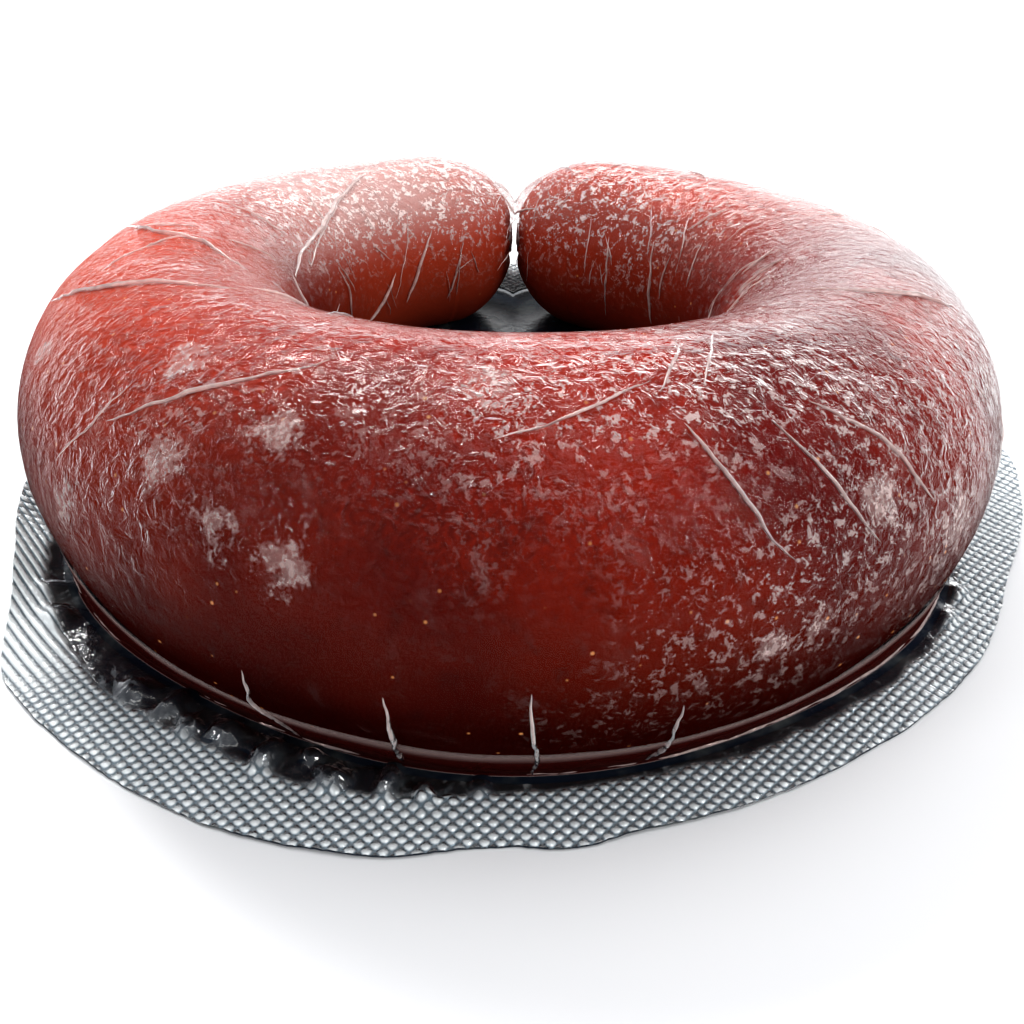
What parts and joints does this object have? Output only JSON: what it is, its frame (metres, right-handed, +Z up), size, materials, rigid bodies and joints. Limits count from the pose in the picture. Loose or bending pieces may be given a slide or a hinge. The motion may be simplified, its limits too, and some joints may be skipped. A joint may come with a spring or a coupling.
{
  "type": "vacuum-packed ring sausage",
  "caption": "Cured sausage bent into a ring with its gathered ends meeting, sealed under clear film with a flat embossed skirt.",
  "frame": {"origin": "middle of the ring, on the plane that the pack rests on", "axes": "+Z up, -Y towards the thickest part of the sausage, +Y towards the place where its two ends meet"},
  "size_m": [0.187, 0.1851, 0.0557],
  "materials": {
    "casing": "moist dark red casing, satin, slightly mottled",
    "clip": "smooth drawn wire",
    "top_film": "clear glossy film, creased, embossed with small diamonds on the skirt",
    "base_film": "clear glossy film, greyish where it lies on itself"
  },
  "bodies": {
    "root": {"sausage": "casing", "end_clip_left": "clip", "end_clip_right": "clip", "top_film": "top_film", "base_film": "base_film"}
  },
  "joints": []
}
